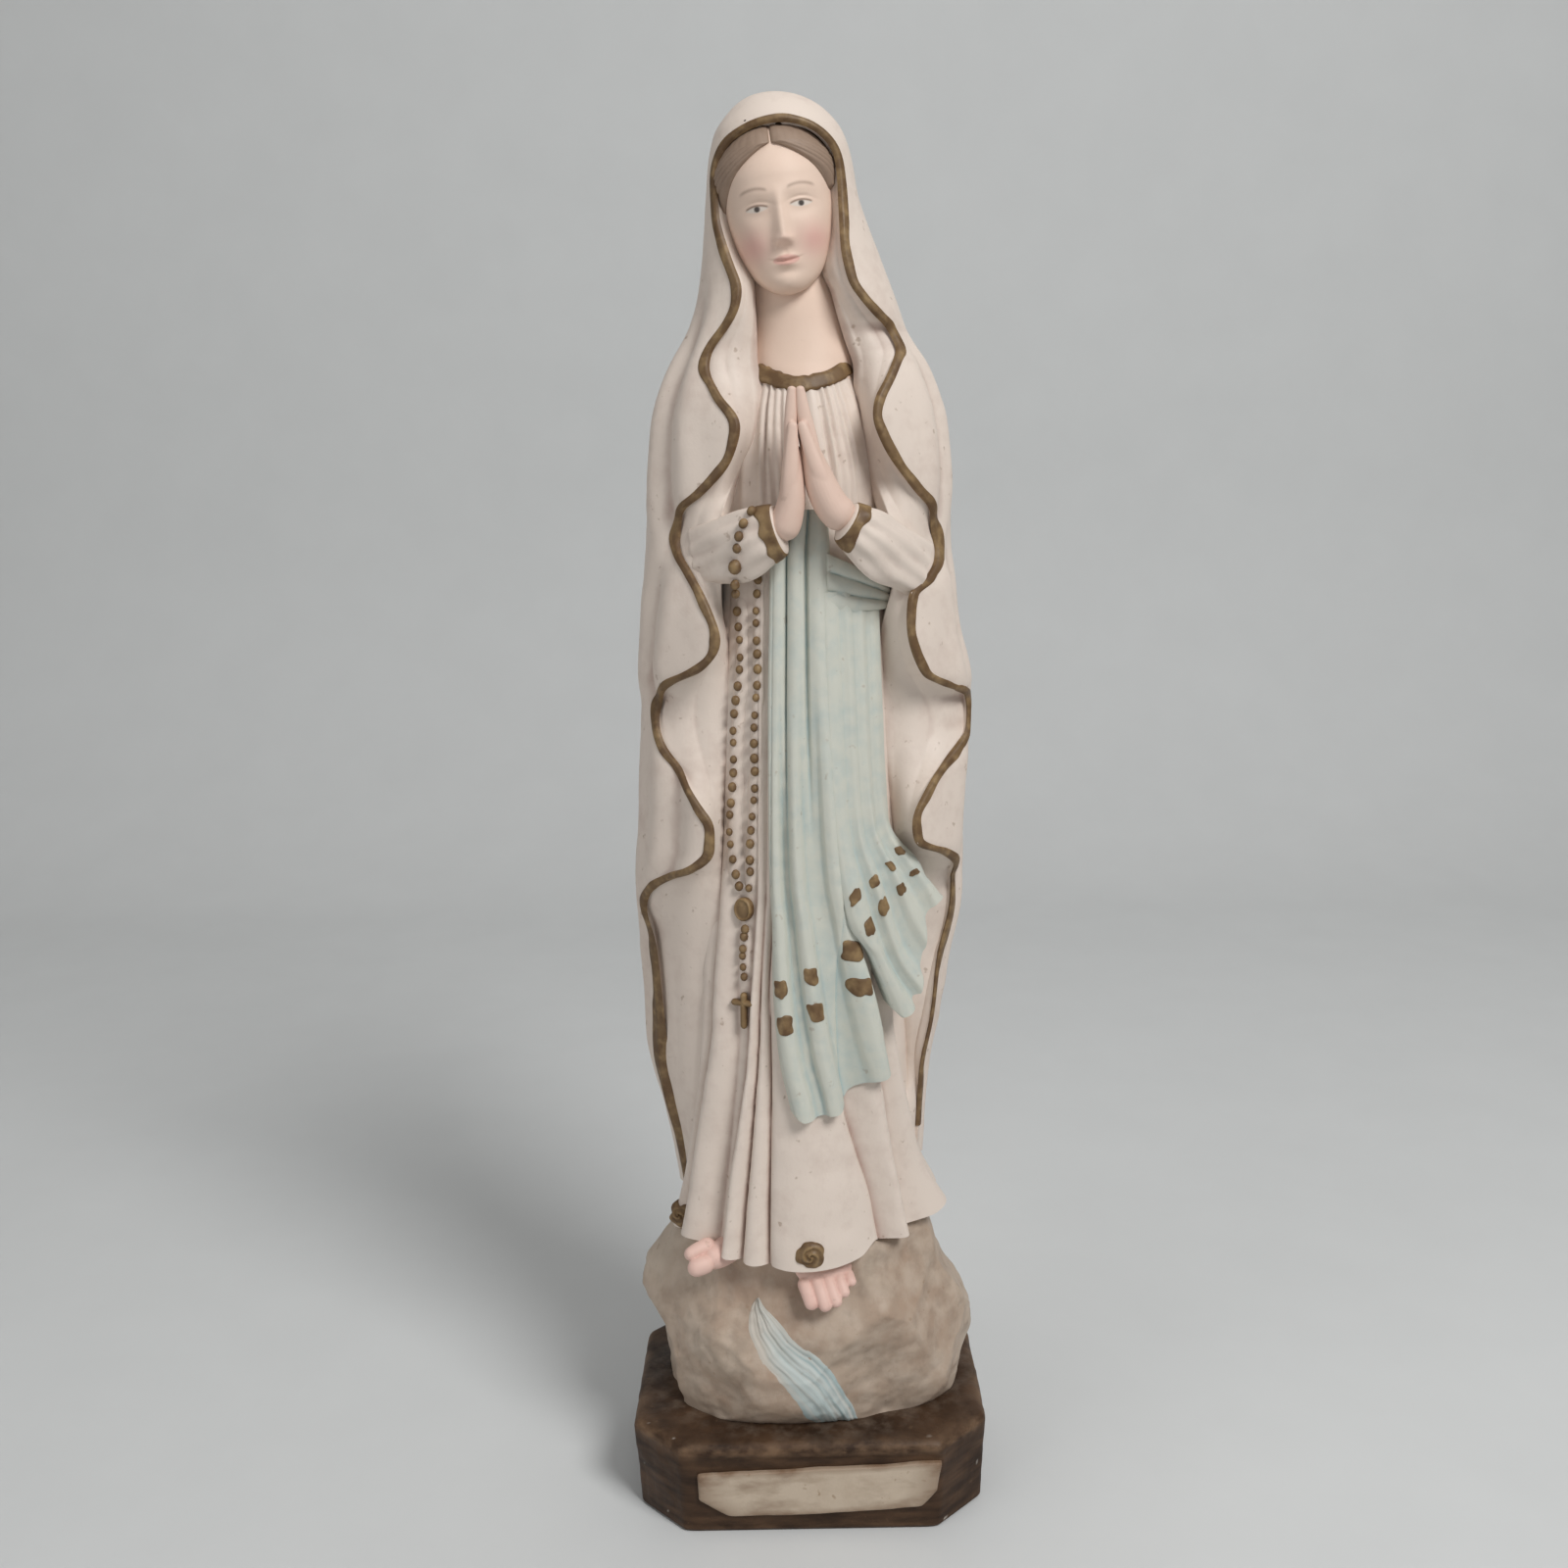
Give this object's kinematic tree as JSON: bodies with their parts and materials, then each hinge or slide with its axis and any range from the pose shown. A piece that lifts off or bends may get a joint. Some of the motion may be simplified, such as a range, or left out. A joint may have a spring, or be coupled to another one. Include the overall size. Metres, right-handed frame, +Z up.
{
  "type": "madonna statue",
  "caption": "Standing veiled figure with joined hands, long waved mantle, sash and rosary, on a rock with a stream and an eight-sided plinth with a blank title panel.",
  "frame": {"origin": "centre of the plinth's underside", "axes": "+Z up, the figure faces -Y, +X is on the viewer's right"},
  "size_m": [0.057, 0.0438, 0.2199],
  "materials": {
    "brown_stain": "worn dark brown paint on cast resin",
    "cream_panel": "smudged cream paint on cast resin",
    "rock_grey": "grey-brown washed paint on cast resin",
    "water_blue": "streaked pale blue and white paint on cast resin",
    "skin": "satin flesh paint on cast resin",
    "robe_white": "matt warm white paint on cast resin",
    "sash_blue": "matt pale grey-blue paint on cast resin",
    "gilt_brown": "dull brown-gold paint on cast resin",
    "hair_brown": "matt grey-brown paint on cast resin"
  },
  "bodies": {
    "root": {"plinth": "brown_stain", "title_panel": "cream_panel", "rock": "rock_grey", "stream": "water_blue", "right_foot": "skin", "left_foot": "skin", "gown": "robe_white", "collar_band": "gilt_brown", "right_rose": "gilt_brown", "left_rose": "gilt_brown", "right_sleeve": "robe_white", "left_sleeve": "robe_white", "right_cuff": "gilt_brown", "left_cuff": "gilt_brown", "right_hand": "skin", "left_hand": "skin", "right_hair": "hair_brown", "left_hair": "hair_brown", "sash_belt": "sash_blue", "sash_front_tail": "sash_blue", "sash_side_tail": "sash_blue", "rosary_outer_strand": "gilt_brown", "rosary_inner_strand": "gilt_brown", "rosary_wrist_strand": "gilt_brown", "rosary_drop": "gilt_brown", "rosary_medal": "gilt_brown", "rosary_crucifix": "gilt_brown", "mantle_lining": "robe_white", "mantle": "robe_white", "mantle_trim": "gilt_brown", "head": "skin"}
  },
  "joints": []
}
